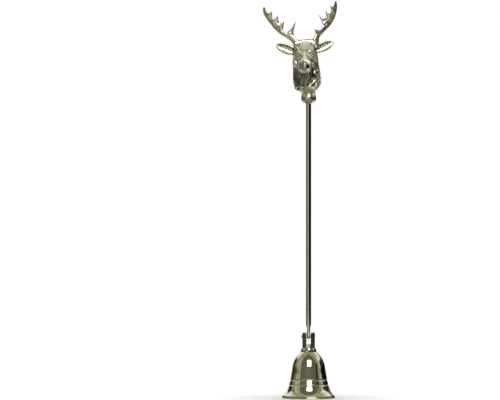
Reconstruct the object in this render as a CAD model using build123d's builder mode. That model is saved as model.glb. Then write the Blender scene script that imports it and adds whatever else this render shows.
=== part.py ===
# Candle snuffer with a hinged bell and a cast stag's head.
#
# A round handle rod carries a cast stag's head at its top end. The rod's lower end is milled to a flat
# tang, which hangs in the slot of a turned yoke. A rivet through the yoke's two ears and the tang is the
# hinge, so the bell below hangs level whatever angle the handle is held at. The yoke sits on the crown of
# the bell, and a slotted screw with a washer holds it from inside.
#
# Units are millimetres. +Z is up, the head looks along -Y, and the origin is on the rod's axis at the
# middle of the fingers' grip. At rest the bell hangs straight below the rod.

import os
from math import atan2, cos, radians, sin, sqrt

from build123d import *

# Rod
rod_diameter = 4.0
grip_to_boss = 40.5  # from the origin up to the centre of the head's boss
grip_to_pin = 140.9  # from the origin down to the hinge
socket_depth = 9.0  # how far the rod goes into the head, past the boss's centre
socket_clearance = 0.05
rod_end_chamfer = 0.5
tang_thickness = 2.6
tang_length = 6.8  # from the hinge up to where the flats run out
tang_runout = 2.4  # height of the slope between flats and round rod

# Hinge rivet
pin_diameter = 2.0
pin_running_clearance = 0.05
pin_head_diameter = 2.9
pin_head_height = 0.9
pin_peen_height = 0.45
pin_seat_depth = 0.25  # of the flat seats cut into the ears' round outer faces
pin_seat_diameter = 3.2

# Yoke
yoke_diameter = 9.8
yoke_slot_width = 3.2
yoke_above_pin = 3.5
yoke_slot_below_pin = 5.7
yoke_below_pin = 9.2  # down to the top of the flange
yoke_shoulder_radius = 2.8  # of the ears' tops, seen along the rivet
yoke_edge_chamfer = 0.7  # of the ears' outer edges
flange_top_diameter = 11.2
flange_bottom_diameter = 12.4
flange_height = 2.6
flange_edge_radius = 0.35
yoke_bead_radius = 0.4  # small round bead where the yoke meets its flange

# Bell
bell_diameter = 40.0
bell_height = 35.2
bell_wall = 1.4
crown_thickness = 2.2
crown_seat_diameter = 12.8  # flat under the yoke's flange
crown_land_diameter = 10.4  # flat inside the crown, under the washer
lip_height = 2.2
lip_edge_radius = 0.4
groove_width = 1.1
groove_depth = 0.35

# Bell outline from the crown to the lip: radius as a share of the bell's radius, and height as a share of
# its height. The two grooves lie at two of its points.
shoulder_shares = [(0.495, 0.892), (0.607, 0.748), (0.642, 0.650)]
wall_shares = [(0.670, 0.550), (0.706, 0.440)]
upper_groove_share = (0.7195, 0.402)
lower_groove_share = (0.7635, 0.294)
flare_shares = [(0.808, 0.215), (0.8855, 0.132)]

# Crown screw and washer
screw_diameter = 4.0
screw_clearance = 0.1
screw_engagement = 3.8
screw_tip_chamfer = 0.4
screw_head_diameter = 7.2
screw_head_height = 2.4
screw_slot_width = 1.0
screw_slot_depth = 1.1
washer_diameter = 9.0
washer_thickness = 0.6
washer_edge_chamfer = 0.12

# Stag's head. It is a casting that leans a little to one side on its boss.
head_lean = 4.7  # degrees towards -X
boss_diameter = 11.6
boss_height = 9.8
neck_width = 21.6
neck_depth = 18.6
neck_height = 44.0  # from the boss up to the poll
skull_width = 15.8
skull_height = 15.4
skull_length = 34.0
skull_pitch = 28.0  # degrees that the nose points down
skull_yaw = 2.6  # degrees that the nose points towards -X
skull_back = 6.0  # how far behind the boss the back of the skull lies
skull_rise = 38.6  # of the back of the skull above the boss
eye_diameter = 3.0
ear_length = 16.8
ear_width = 6.4
ear_thickness = 3.4
ear_rise = 35.0
ear_root_spacing = 13.0
ear_back = 2.5  # how far behind the boss the ears lie
ear_hollow_depth = 1.1
antler_span = 54.6
antler_height = 72.4  # tips above the boss
antler_thickness = 3.6
tine_thickness = 2.8

# Neck sections from the boss to the poll: height as a share of the neck's height, width and depth as
# shares of its greatest ones, and how far back the section lies as a share of the neck's depth.
neck_shares = [
    (0.060, 0.50, 0.56, 0.00),
    (0.105, 0.55, 0.62, 0.00),
    (0.150, 0.70, 0.74, 0.01),
    (0.200, 0.90, 0.90, 0.03),
    (0.270, 0.97, 0.97, 0.04),
    (0.360, 1.00, 1.00, 0.06),
    (0.500, 0.96, 0.96, 0.09),
    (0.660, 0.91, 0.90, 0.13),
    (0.780, 0.83, 0.84, 0.16),
    (0.880, 0.69, 0.72, 0.19),
    (0.960, 0.47, 0.48, 0.20),
    (0.995, 0.18, 0.20, 0.20),
]
# Skull sections from the back of the head to the nose: distance along as a share of the skull's length,
# width and height as shares of the skull's own, and how far up the section lies as a share of its height.
skull_shares = [
    (0.00, 0.46, 0.44, 0.00),
    (0.10, 0.84, 0.82, 0.02),
    (0.28, 1.00, 1.00, 0.02),
    (0.44, 0.86, 0.88, 0.00),
    (0.62, 0.60, 0.66, -0.04),
    (0.76, 0.61, 0.66, -0.05),
    (0.87, 0.68, 0.75, -0.04),
    (0.95, 0.62, 0.68, -0.03),
    (0.99, 0.42, 0.46, -0.03),
    (1.00, 0.16, 0.18, -0.03),
]
eye_share = (0.36, 0.40, -0.13)  # along the skull, across as a share of its width, up of its height

# Antler sections from the skull to the tip, for each side: across as a share of half the span, up as a
# share of the antlers' height, back, half-width and half-depth as shares of the antlers' thickness.
beam_shares = {
    -1: [
        (0.210, 0.500, 0.60, 0.55, 0.55),
        (0.300, 0.605, 1.00, 0.66, 0.58),
        (0.460, 0.678, 1.35, 0.64, 0.50),
        (0.680, 0.762, 1.50, 0.74, 0.46),
        (0.860, 0.838, 1.35, 0.66, 0.42),
        (0.985, 0.910, 1.00, 0.46, 0.34),
        (1.030, 0.993, 0.60, 0.12, 0.12),
    ],
    1: [
        (0.225, 0.500, 0.60, 0.58, 0.55),
        (0.345, 0.610, 1.00, 0.60, 0.57),
        (0.500, 0.684, 1.32, 0.58, 0.50),
        (0.680, 0.755, 1.48, 0.74, 0.46),
        (0.825, 0.835, 1.35, 0.76, 0.42),
        (0.930, 0.912, 1.00, 0.50, 0.33),
        (0.973, 0.996, 0.60, 0.12, 0.12),
    ],
}
# Tines of each side from the first to the last and then the brow tine: root and tip, each across, up and
# back in the same shares, and the root's size as a share of the tines' thickness. The brow tine on the -X
# side is long and upright, the other one short and points forward.
tine_shares = {
    -1: [
        ((0.634, 0.751, 1.45), (0.495, 0.829, 1.10), 0.74),
        ((0.758, 0.807, 1.40), (0.659, 0.892, 1.00), 0.72),
        ((0.901, 0.866, 1.20), (0.824, 0.946, 0.80), 0.60),
        ((0.385, 0.667, 1.20), (0.178, 0.806, 0.60), 0.80),
    ],
    1: [
        ((0.645, 0.768, 1.45), (0.465, 0.859, 1.10), 0.84),
        ((0.780, 0.820, 1.35), (0.656, 0.899, 1.00), 0.72),
        ((0.886, 0.873, 1.15), (0.799, 0.952, 0.80), 0.60),
        ((0.415, 0.662, 0.90), (0.315, 0.711, -0.60), 0.62),
    ],
}
tine_middle_share = 0.58  # thickness halfway along a tine, of its root's
tine_tip_share = 0.14

# Ear sections from root to tip: distance along as a share of the ear's length, width and thickness as
# shares of the greatest ones. The hollow's sections give its own width as a share of the ear's.
ear_shares = [
    (0.00, 0.60, 0.90),
    (0.25, 0.86, 1.00),
    (0.52, 1.00, 0.84),
    (0.78, 0.72, 0.60),
    (1.00, 0.10, 0.16),
]
hollow_shares = [(0.34, 0.20), (0.50, 0.70), (0.68, 0.66), (0.86, 0.16)]
ear_rise_angles = {-1: 25.0, 1: 17.0}  # degrees above level, for each side

# Worked-out values
rod_radius = rod_diameter / 2
pin_z = -grip_to_pin
ear_top_z = pin_z + yoke_above_pin
slot_floor_z = pin_z - yoke_slot_below_pin
flange_top_z = pin_z - yoke_below_pin
crown_z = flange_top_z - flange_height
rim_z = crown_z - bell_height
bell_radius = bell_diameter / 2
crown_land_z = crown_z - crown_thickness
screw_seat_z = crown_land_z - washer_thickness
rod_top_z = grip_to_boss + socket_depth

hinge_plane = Plane(origin=(0, 0, pin_z), x_dir=(0, 1, 0), z_dir=(1, 0, 0))
head_plane = Plane(
    origin=(0, 0, grip_to_boss),
    x_dir=(cos(radians(head_lean)), 0, sin(radians(head_lean))),
    z_dir=(-sin(radians(head_lean)), 0, cos(radians(head_lean))),
)


def cap_middle(radius, height):
    """Radius, and height above the edge, of the point halfway up a round cap (a part of a sphere)."""
    sphere = (radius**2 + height**2) / (2 * height)
    half_angle = atan2(radius, sphere - height) / 2
    return sphere * sin(half_angle), sphere * cos(half_angle) - (sphere - height)


def bell_point(share):
    """A point of the bell's outline from its shares: radius and height."""
    return share[0] * bell_radius, rim_z + share[1] * bell_height


def shifted_inwards(points, distance):
    """The inner points of a row going outwards and down, moved towards the bell's inside, square to it."""
    moved = []
    for before, point, after in zip(points, points[1:], points[2:]):
        run, fall = after[0] - before[0], before[1] - after[1]
        size = sqrt(run**2 + fall**2)
        moved.append((point[0] - distance * fall / size, point[1] - distance * run / size))
    return moved


# Bell: a thin turned shell, open below, with two grooves and a hole in its crown
crown_edge = (crown_seat_diameter / 2, crown_z)
crown_land = (crown_land_diameter / 2, crown_land_z)
lip_top = (bell_radius, rim_z + lip_height)
inner_rim = (bell_radius - bell_wall, rim_z)
outline_shares = shoulder_shares + wall_shares + [upper_groove_share, lower_groove_share] + flare_shares
outer_points = [crown_edge] + [bell_point(share) for share in outline_shares] + [lip_top]
inner_points = shifted_inwards(outer_points, bell_wall)
with BuildPart() as bell:
    with BuildSketch(Plane.XZ):
        with BuildLine():
            Polyline((0, crown_z), crown_edge)
            Spline(*outer_points)
            Polyline(lip_top, (bell_radius, rim_z), inner_rim)
            Spline(inner_rim, *reversed(inner_points), crown_land)
            Polyline(crown_land, (0, crown_land_z), (0, crown_z))
        make_face()
    revolve(axis=Axis.Z)
    rim_edges = bell.edges().filter_by(GeomType.CIRCLE).group_by(Axis.Z)[0]
    fillet(rim_edges.sort_by(SortBy.RADIUS)[-1], lip_edge_radius)
    for share in (upper_groove_share, lower_groove_share):
        with BuildSketch(Plane.XZ):
            with Locations(bell_point(share)):
                Ellipse(groove_depth, groove_width / 2)
        revolve(axis=Axis.Z, mode=Mode.SUBTRACT)
    with Locations((0, 0, crown_z)):
        Hole(screw_diameter / 2 + screw_clearance, depth=2 * crown_thickness)
bell.part.label = "bell"

# Yoke: a turned post with a slot for the tang, two ears and a flange that sits on the bell's crown
yoke_radius = yoke_diameter / 2
pin_seat_x = yoke_radius - pin_seat_depth
with BuildPart() as bell_yoke:
    with BuildSketch(Plane.XZ):
        with BuildLine():
            Polyline(
                (0, crown_z),
                (flange_bottom_diameter / 2, crown_z),
                (flange_top_diameter / 2, flange_top_z),
                (yoke_radius, flange_top_z),
                (yoke_radius, ear_top_z),
                (0, ear_top_z),
                close=True,
            )
        make_face()
    revolve(axis=Axis.Z)
    turned_edges = bell_yoke.edges().filter_by(GeomType.CIRCLE).group_by(Axis.Z)
    chamfer(turned_edges[-1], yoke_edge_chamfer)
    fillet(turned_edges[1].sort_by(SortBy.RADIUS)[-1], flange_edge_radius)
    with BuildSketch(Plane.XZ):
        with Locations((yoke_radius, flange_top_z)):
            Circle(yoke_bead_radius)
    revolve(axis=Axis.Z)
    # the ears' tops are rounded over, seen along the rivet
    with BuildSketch(Plane.YZ):
        with Locations((0, ear_top_z)):
            Rectangle(2 * yoke_diameter, 2 * yoke_shoulder_radius)
        with Locations((0, ear_top_z - yoke_diameter / 2)):
            RectangleRounded(yoke_diameter, yoke_diameter, yoke_shoulder_radius, mode=Mode.SUBTRACT)
    extrude(amount=yoke_diameter, both=True, mode=Mode.SUBTRACT)
    with BuildSketch(Plane.XZ):
        with Locations((0, slot_floor_z)):
            Rectangle(yoke_slot_width, yoke_diameter + yoke_above_pin, align=(Align.CENTER, Align.MIN))
    extrude(amount=yoke_diameter, both=True, mode=Mode.SUBTRACT)
    for side in (-1, 1):
        with BuildSketch(hinge_plane.offset(side * pin_seat_x)):
            Circle(pin_seat_diameter / 2)
        extrude(amount=side * yoke_radius, mode=Mode.SUBTRACT)
    with Locations(hinge_plane):
        Hole(pin_diameter / 2)
    with BuildSketch(Plane.XY.offset(crown_z)):
        Circle(screw_diameter / 2)
    extrude(amount=screw_engagement + screw_clearance, mode=Mode.SUBTRACT)
bell_yoke.part.label = "bell_yoke"

# Hinge rivet: a shank with a round head on the -X side and a flatter, peened end on the other
with BuildPart() as hinge_pin:
    with BuildSketch(hinge_plane.offset(-pin_seat_x)):
        Circle(pin_diameter / 2)
    extrude(amount=2 * pin_seat_x)
    for side, height in ((-1, pin_head_height), (1, pin_peen_height)):
        middle_r, middle_height = cap_middle(pin_head_diameter / 2, height)
        with BuildSketch(Plane.XZ):
            with BuildLine():
                Polyline(
                    (side * (pin_seat_x + height), pin_z),
                    (side * pin_seat_x, pin_z),
                    (side * pin_seat_x, pin_z + pin_head_diameter / 2),
                )
                ThreePointArc(
                    (side * pin_seat_x, pin_z + pin_head_diameter / 2),
                    (side * (pin_seat_x + middle_height), pin_z + middle_r),
                    (side * (pin_seat_x + height), pin_z),
                )
            make_face()
        revolve(axis=Axis((0, 0, pin_z), (1, 0, 0)))
hinge_pin.part.label = "hinge_pin"

# Handle rod: round, with a chamfered top end, a rounded lower end and two milled flats at the hinge
flat_top_z = pin_z + tang_length
with BuildPart() as handle_rod:
    with BuildSketch(Plane.XY.offset(pin_z)):
        Circle(rod_radius)
    extrude(amount=rod_top_z - pin_z)
    chamfer(handle_rod.edges().group_by(Axis.Z)[-1], rod_end_chamfer)
    with Locations((0, 0, pin_z)):
        Sphere(rod_radius)
    for side in (-1, 1):
        with BuildSketch(Plane.XZ):
            with BuildLine():
                Polyline(
                    (side * tang_thickness / 2, pin_z - rod_diameter),
                    (side * tang_thickness / 2, flat_top_z),
                    (side * rod_radius, flat_top_z + tang_runout),
                    (side * rod_diameter, flat_top_z + tang_runout),
                    (side * rod_diameter, pin_z - rod_diameter),
                    close=True,
                )
            make_face()
        extrude(amount=rod_diameter, both=True, mode=Mode.SUBTRACT)
    with Locations(hinge_plane):
        Hole(pin_diameter / 2 + pin_running_clearance)
handle_rod.part.label = "handle_rod"

# Washer inside the crown
with BuildPart() as crown_washer:
    with BuildSketch(Plane.XY.offset(screw_seat_z)):
        Circle(washer_diameter / 2)
        Circle(screw_diameter / 2 + screw_clearance, mode=Mode.SUBTRACT)
    extrude(amount=washer_thickness)
    lower_edges = crown_washer.edges().group_by(Axis.Z)[0]
    chamfer(lower_edges.sort_by(SortBy.RADIUS)[-1], washer_edge_chamfer)
crown_washer.part.label = "crown_washer"

# Crown screw: a domed slotted head below the washer, its shank in the yoke
head_middle_r, head_middle_height = cap_middle(screw_head_diameter / 2, screw_head_height)
with BuildPart() as crown_screw:
    with BuildSketch(Plane.XZ):
        with BuildLine():
            Polyline(
                (0, screw_seat_z - screw_head_height),
                (0, crown_z + screw_engagement),
                (screw_diameter / 2, crown_z + screw_engagement),
                (screw_diameter / 2, screw_seat_z),
                (screw_head_diameter / 2, screw_seat_z),
            )
            ThreePointArc(
                (screw_head_diameter / 2, screw_seat_z),
                (head_middle_r, screw_seat_z - head_middle_height),
                (0, screw_seat_z - screw_head_height),
            )
        make_face()
    revolve(axis=Axis.Z)
    chamfer(crown_screw.edges().group_by(Axis.Z)[-1], screw_tip_chamfer)
    with BuildSketch(Plane.XY.offset(screw_seat_z - screw_head_height)):
        Rectangle(screw_slot_width, 2 * screw_head_diameter)
    extrude(amount=screw_slot_depth, mode=Mode.SUBTRACT)
crown_screw.part.label = "crown_screw"


# Stag's head
def in_head(x, y, z):
    """A place given in the head's own leaning frame, from the boss's centre."""
    return head_plane.from_local_coords(Vector(x, y, z))


def oval(plane, half_width, half_height):
    """A smooth closed oval, always started on the plane's own x axis so that lofts don't twist."""
    angles = [radians(angle) for angle in range(0, 360, 45)]
    with BuildSketch(plane, mode=Mode.PRIVATE) as outline:
        with BuildLine():
            Spline(*[(half_width * cos(angle), half_height * sin(angle)) for angle in angles], periodic=True)
        make_face()
    return outline.sketch.face()


def limb(path, half_widths, half_depths, mode=Mode.ADD):
    """A tapering limb of the casting: a loft through ovals square to a path in the head's frame."""
    places = [in_head(*point) for point in path]
    befores = [places[0]] + places[:-1]
    afters = places[1:] + [places[-1]]
    backwards = in_head(0, 1, 0) - in_head(0, 0, 0)
    sections = []
    for step, place in enumerate(places):
        square = Plane(origin=place, x_dir=backwards, z_dir=afters[step] - befores[step])
        sections.append(oval(square, half_depths[step], half_widths[step]))
    loft(sections, mode=mode)


def on_skull(along, across, up):
    """A place on the skull: along its axis from back to nose, across it, and up from it."""
    pitch, yaw = radians(skull_pitch), radians(skull_yaw)
    forward = along * cos(pitch) + up * sin(pitch)
    return (
        across * cos(yaw) - forward * sin(yaw),
        skull_back - forward * cos(yaw) - across * sin(yaw),
        skull_rise - along * sin(pitch) + up * cos(pitch),
    )


def on_antler(side, share):
    """A place on the antler of one side, from its shares across, up and back."""
    return side * share[0] * antler_span / 2, share[2] * antler_thickness, share[1] * antler_height


def tine(side, shares):
    """A pointed tine from its root inside the beam to its tip."""
    root, tip = on_antler(side, shares[0]), on_antler(side, shares[1])
    middle = [(a + b) / 2 for a, b in zip(root, tip)]
    sizes = [shares[2] * tine_thickness * share for share in (1, tine_middle_share, tine_tip_share)]
    limb([root, middle, tip], sizes, sizes)


def on_ear(side, share, forward):
    """A place along the axis of one side's ear, or in front of it."""
    angle = radians(ear_rise_angles[side])
    across = ear_root_spacing / 2 + share * ear_length * cos(angle)
    return side * across, ear_back - forward, ear_rise + share * ear_length * sin(angle)


with BuildPart() as stag_head:
    with BuildSketch(Plane.XZ):
        with Locations((0, grip_to_boss)):
            Ellipse(boss_diameter / 2, boss_height / 2)
            Rectangle(boss_diameter, boss_height, align=(Align.MAX, Align.CENTER), mode=Mode.SUBTRACT)
    revolve(axis=Axis.Z)
    neck_sections = []
    for rise, width, depth, back in neck_shares:
        centre = in_head(0, back * neck_depth, rise * neck_height)
        level = Plane(origin=centre, x_dir=head_plane.x_dir, z_dir=head_plane.z_dir)
        neck_sections.append(oval(level, width * neck_width / 2, depth * neck_depth / 2))
    loft(neck_sections)
    limb(
        [on_skull(share[0] * skull_length, 0, share[3] * skull_height) for share in skull_shares],
        [share[1] * skull_width / 2 for share in skull_shares],
        [share[2] * skull_height / 2 for share in skull_shares],
    )
    for side in (-1, 1):
        eye_along, eye_across, eye_up = eye_share
        eye = on_skull(eye_along * skull_length, side * eye_across * skull_width, eye_up * skull_height)
        with Locations(in_head(*eye)):
            Sphere(eye_diameter / 2)
        limb(
            [on_antler(side, share) for share in beam_shares[side]],
            [share[3] * antler_thickness for share in beam_shares[side]],
            [share[4] * antler_thickness for share in beam_shares[side]],
        )
        for shares in tine_shares[side]:
            tine(side, shares)
        limb(
            [on_ear(side, share[0], 0) for share in ear_shares],
            [share[1] * ear_width / 2 for share in ear_shares],
            [share[2] * ear_thickness / 2 for share in ear_shares],
        )
        limb(
            [on_ear(side, share[0], ear_thickness / 2) for share in hollow_shares],
            [share[1] * ear_width / 2 for share in hollow_shares],
            [ear_hollow_depth for share in hollow_shares],
            mode=Mode.SUBTRACT,
        )
    with BuildSketch(Plane.XY.offset(rod_top_z)):
        Circle(rod_radius + socket_clearance)
    extrude(amount=-socket_depth - boss_height, mode=Mode.SUBTRACT)
stag_head.part.label = "stag_head"

pieces = [stag_head, handle_rod, hinge_pin, bell_yoke, bell, crown_washer, crown_screw]
os.makedirs("parts", exist_ok=True)
for piece in pieces:
    export_step(piece.part, f"parts/{piece.part.label}.step")
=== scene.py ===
import math

import bmesh
import bpy
import numpy as np
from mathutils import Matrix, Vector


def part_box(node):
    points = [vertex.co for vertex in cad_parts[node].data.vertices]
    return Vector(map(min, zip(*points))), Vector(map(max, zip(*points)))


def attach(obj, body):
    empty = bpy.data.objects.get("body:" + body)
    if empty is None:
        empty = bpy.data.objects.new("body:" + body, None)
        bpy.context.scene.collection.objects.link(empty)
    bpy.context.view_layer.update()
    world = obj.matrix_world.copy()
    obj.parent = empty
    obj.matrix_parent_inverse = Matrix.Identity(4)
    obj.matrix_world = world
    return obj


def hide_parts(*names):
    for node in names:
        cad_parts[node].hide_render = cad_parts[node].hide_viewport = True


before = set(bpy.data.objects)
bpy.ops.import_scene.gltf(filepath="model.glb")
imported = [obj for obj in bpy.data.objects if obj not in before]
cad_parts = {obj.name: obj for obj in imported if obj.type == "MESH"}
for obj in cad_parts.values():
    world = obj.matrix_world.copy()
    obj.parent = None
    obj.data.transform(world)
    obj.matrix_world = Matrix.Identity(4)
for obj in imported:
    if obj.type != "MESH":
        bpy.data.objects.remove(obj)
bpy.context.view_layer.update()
mm = 0.001
print("frame loaded")


# numbers, curves and surfaces
def linearColour(text):  # c/12.92 below 0.04045, and ((c + 0.055)/1.055)^2.4 above it, for each channel c
    channels = np.array([int(text[place : place + 2], 16) for place in (1, 3, 5)]) / 255
    linear = np.where(channels <= 0.04045, channels / 12.92, ((channels + 0.055) / 1.055) ** 2.4)
    return (*linear.tolist(), 1)


def smoothStep(low, high, values):  # 3t^2 - 2t^3, where t runs from 0 at low to 1 at high
    t = np.clip((values - low) / (high - low), 0, 1)
    return t * t * (3 - 2 * t)


def chordPlaces(knots):  # how far along the straight lines between them each knot lies
    return np.concatenate([[0], np.cumsum(np.linalg.norm(np.diff(knots, axis=0), axis=1))])


def splineThrough(knots, count, places=None):
    # natural cubic spline: cubic pieces in chord length, or in the places given, whose second derivatives
    # come from one linear system, match at the knots and are nothing at the ends
    knots = np.asarray(knots, float)
    if places is None:
        places = chordPlaces(knots)
    places = np.asarray(places, float)
    steps = np.diff(places)
    slopes = np.diff(knots, axis=0) / steps[:, None]
    inner = np.arange(1, len(knots) - 1)
    system, right = np.eye(len(knots)), np.zeros_like(knots)
    system[inner, inner - 1] = steps[:-1]
    system[inner, inner] = 2 * (steps[:-1] + steps[1:])
    system[inner, inner + 1] = steps[1:]
    right[inner] = 6 * (slopes[1:] - slopes[:-1])
    second = np.linalg.solve(system, right)
    wanted = np.linspace(places[0], places[-1], count) if np.ndim(count) == 0 else np.asarray(count, float)
    piece = np.clip(np.searchsorted(places, wanted, "right") - 1, 0, len(steps) - 1)
    after = (wanted - places[piece])[:, None]
    span = steps[piece][:, None]
    before = span - after
    return (
        (second[piece] * before**3 + second[piece + 1] * after**3) / (6 * span)
        + (knots[piece] / span - second[piece] * span / 6) * before
        + (knots[piece + 1] / span - second[piece + 1] * span / 6) * after
    )


def latticeNoise(points, size, seed, cells=32):
    # random numbers from -1 to 1 on a cubic lattice of that size, mixed by 3t^2 - 2t^3 along each axis
    table = np.random.default_rng(seed).uniform(-1, 1, (cells, cells, cells))
    scaled = np.asarray(points) / size
    cell = np.floor(scaled).astype(int)
    t = smoothStep(0, 1, scaled - cell)
    total = np.zeros(len(scaled))
    for corner in np.ndindex(2, 2, 2):
        weight = np.prod(np.where(corner, t, 1 - t), axis=1)
        total += weight * table[tuple(((cell + corner) % cells).T)]
    return total


def roundAngles(segments):  # that many equal steps round a full turn
    return np.linspace(0, 2 * np.pi, segments, endpoint=False)


def closedEnds(rows):  # 1 for each row of a surface, and 0 for the first and the last, which close to a point
    return np.pad(np.ones(rows - 2), 1)


def signedPower(values, power):  # |v|^p with the sign of v
    return np.sign(values) * np.abs(values) ** power


def turnedPair(a, b, degrees):  # (a cos t - b sin t, a sin t + b cos t)
    t = math.radians(degrees)
    return a * math.cos(t) - b * math.sin(t), a * math.sin(t) + b * math.cos(t)


def arcPoints(centre, radii, turn, rows):  # (x0 + a cos t, z0 + b sin t) between two turns t in degrees
    t = np.radians(np.linspace(*turn, rows))
    return centre + np.stack([np.cos(t), np.sin(t)], 1) * radii


def turned(profile, segments):  # a profile point (r, z) at angle a becomes (r cos a, r sin a, z)
    angles = roundAngles(segments)
    r, z = np.asarray(profile, float).T
    return np.stack([np.outer(r, np.cos(angles)), np.outer(r, np.sin(angles)), np.outer(z, np.ones(segments))], -1)


def ball(centre, radii, rows=26, segments=36, power=2):
    # superellipsoid: radii times (|cos b|^(2/p) cos a, |cos b|^(2/p) sin a, |sin b|^(2/p)) about the centre
    b = np.linspace(-np.pi / 2, np.pi / 2, rows)
    ring, height = np.abs(np.cos(b)) ** (2 / power) * closedEnds(rows), signedPower(np.sin(b), 2 / power)
    return turned(np.stack([ring, height], 1), segments) * np.asarray(radii) + np.asarray(centre)


def limb(path, widths, depths, rows=46, segments=36, capRows=7, thinnest=0.12):
    # ellipses with half-width w along (tangent x back) and half-depth d along back, carried on a smooth
    # path and closed at each end by a round cap, where they shrink as a quarter circle does
    knots = np.column_stack([path, widths, depths])
    body = splineThrough(knots, rows, chordPlaces(knots[:, :3]))
    turn = np.linspace(0, np.pi / 2, capRows)[1:]
    tangent = np.gradient(body[:, :3], axis=0)
    tangent /= np.linalg.norm(tangent, axis=1)[:, None]
    sizes = np.maximum(body[:, 3:], thinnest)
    caps = []
    for end, way in ((0, -1), (-1, 1)):
        places = body[end, :3] + way * sizes[end].min() * np.outer(np.sin(turn), tangent[end])
        caps.append(np.column_stack([places, np.outer(np.cos(turn), sizes[end])])[::way])
    whole = np.vstack([caps[0], np.column_stack([body[:, :3], sizes]), caps[1]])
    count = len(caps[0])
    along = np.vstack([np.repeat(tangent[:1], count, 0), tangent, np.repeat(tangent[-1:], count, 0)])
    back = [0, 1, 0] - along[:, 1:2] * along
    back /= np.linalg.norm(back, axis=1)[:, None]
    side = np.cross(along, back)
    angles = roundAngles(segments)[None, :, None]
    return (
        whole[:, None, :3]
        + side[:, None] * whole[:, None, 3:4] * np.cos(angles)
        + back[:, None] * whole[:, None, 4:5] * np.sin(angles)
    )


def newObject(name, data):  # puts the data into the scene as an object
    made = bpy.data.objects.new(name, data)
    bpy.context.scene.collection.objects.link(made)
    return made


def meshObject(name, grids, scale=mm, loop=False, joined=0.002):
    # each grid of points becomes quads between neighbouring rows and columns; its columns close round
    places, quads, start = [], [], 0
    for grid in grids:
        rows, columns = grid.shape[:2]
        ids = np.arange(rows * columns).reshape(rows, columns) + start
        lower = ids if loop else ids[:-1]
        upper = np.roll(ids, -1, axis=0) if loop else ids[1:]
        quads.append(np.stack([lower, np.roll(lower, -1, 1), np.roll(upper, -1, 1), upper], -1).reshape(-1, 4))
        places.append(grid.reshape(-1, 3))
        start += rows * columns
    mesh = bpy.data.meshes.new(name)
    mesh.from_pydata((np.vstack(places) * scale).tolist(), [], np.vstack(quads).tolist())
    work = bmesh.new()
    work.from_mesh(mesh)
    bmesh.ops.remove_doubles(work, verts=work.verts, dist=joined * scale)
    bmesh.ops.recalc_face_normals(work, faces=work.faces)
    work.to_mesh(mesh)
    work.free()
    return newObject(name, mesh)


def applyModifiers(piece):  # the mesh as the modifiers leave it takes the place of the piece's own
    graph = bpy.context.evaluated_depsgraph_get()
    graph.update()
    made = bpy.data.meshes.new_from_object(piece.evaluated_get(graph))
    old = piece.data
    piece.modifiers.clear()
    piece.data = made
    bpy.data.meshes.remove(old)
    made.name = piece.name


def cutAway(piece, cutters):  # the piece less each cutter, which is then removed
    for cutter in cutters:
        cut = piece.modifiers.new("cut", "BOOLEAN")
        cut.operation, cut.solver, cut.object = "DIFFERENCE", "EXACT", cutter
    applyModifiers(piece)
    for cutter in cutters:
        bpy.data.objects.remove(cutter)


def block(low, high):  # a closed box between two corners, as a tube of four sides
    (x0, y0, z0), (x1, y1, z1) = low, high
    ring = np.array([(x0, y0), (x1, y0), (x1, y1), (x0, y1)], float)
    middle = np.repeat([[(x0 + x1) / 2, (y0 + y1) / 2]], 4, 0)
    rows = [np.column_stack([flat, np.full(4, z)]) for flat, z in ((middle, z0), (ring, z0), (ring, z1), (middle, z1))]
    return meshObject("cutter", [np.array(rows)])


def prism(outline, y0, y1):  # a flat outline of (x, z) points drawn out from y0 to y1, closed at both ends
    outline = np.asarray(outline, float)
    middle = np.repeat([outline.mean(0)], len(outline), 0)
    rows = [
        np.column_stack([flat[:, 0], np.full(len(outline), y), flat[:, 1]])
        for flat, y in ((middle, y0), (outline, y0), (outline, y1), (middle, y1))
    ]
    return meshObject("cutter", [np.array(rows)])


def alongX(grid, z):  # a turned grid laid on its side: its own z runs along +X, at height z
    return np.stack([grid[..., 2], grid[..., 0], grid[..., 1] + z], -1)


def rod(radius, low, high, segments=64):  # a plain round bar on the z axis, closed by flat ends
    return turned([(0, low), (radius, low), (radius, high), (0, high)], segments)


def crossBore(radius, low, high, z):  # what cuts a round hole along X at height z
    return meshObject("cutter", [alongX(rod(radius, low, high), z)])


def softenEdges(piece, width, angle=28, segments=2):
    # rounds the edges that are sharper than the angle, and shades the rest smooth
    bevel = piece.modifiers.new("edges", "BEVEL")
    bevel.width, bevel.segments = width * mm, segments
    bevel.limit_method, bevel.angle_limit = "ANGLE", math.radians(angle)
    applyModifiers(piece)
    smoothShade(piece, angle)


def smoothShade(piece, angle=30):  # edges sharper than the angle, in degrees, stay sharp
    piece.data.polygons.foreach_set("use_smooth", np.ones(len(piece.data.polygons), bool))
    piece.data.set_sharp_from_angle(angle=math.radians(angle))


def finishPiece(piece, material, body, slot, *nodes):  # it stands in for the nodes and rides on the body
    piece.data.materials.clear()
    piece.data.materials.append(material)
    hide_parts(*nodes)
    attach(piece, body)


# materials
def addNode(tree, kind, inputs=None, **settings):  # an input is a value, or an output socket to link
    node = tree.nodes.new(kind)
    for name, value in settings.items():
        setattr(node, name, value)
    for socket, value in (inputs or {}).items():
        if isinstance(value, bpy.types.NodeSocket):
            tree.links.new(value, node.inputs[socket])
        else:
            node.inputs[socket].default_value = value
    return node


def newMaterial(name):  # an empty material and its node tree
    material = bpy.data.materials.new(name)
    material.use_nodes = True
    material.node_tree.nodes.clear()
    return material, material.node_tree


def perMetre(size):  # a noise scale whose cells are that many millimetres
    return 1 / (size * mm)


noiseRange = {"film": (0.42, 0.68), "smear": (0.35, 0.7)}  # the noise at which each begins and is full


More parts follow.
